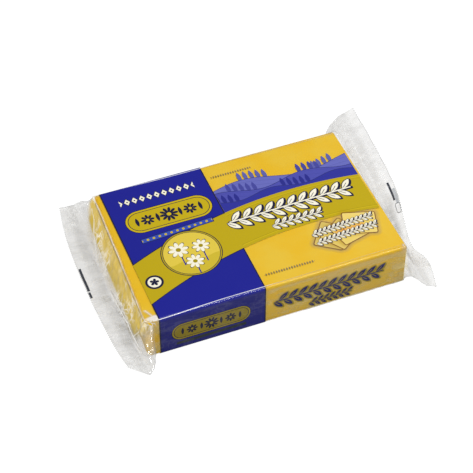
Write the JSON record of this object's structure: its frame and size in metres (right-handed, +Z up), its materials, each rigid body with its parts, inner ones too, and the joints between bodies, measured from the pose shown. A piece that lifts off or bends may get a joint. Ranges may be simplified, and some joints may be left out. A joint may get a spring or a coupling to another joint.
{
  "type": "wrapped cheese block",
  "caption": "Flat block of yellow cheese in a sealed film pack with gusseted ends and a flat sealed fin at each end; rests on its broad face.",
  "frame": {"origin": "centre of the wrapped block's underside, on the surface that it rests on", "axes": "+X along the pack's length, to the right in the picture; +Y to the back; +Z up"},
  "size_m": [0.1893, 0.1286, 0.0285],
  "materials": {
    "film_pack": "glossy thin film over yellow cheese, printed in blue and olive"
  },
  "bodies": {
    "root": {"sealed_pack": "film_pack"}
  },
  "joints": []
}
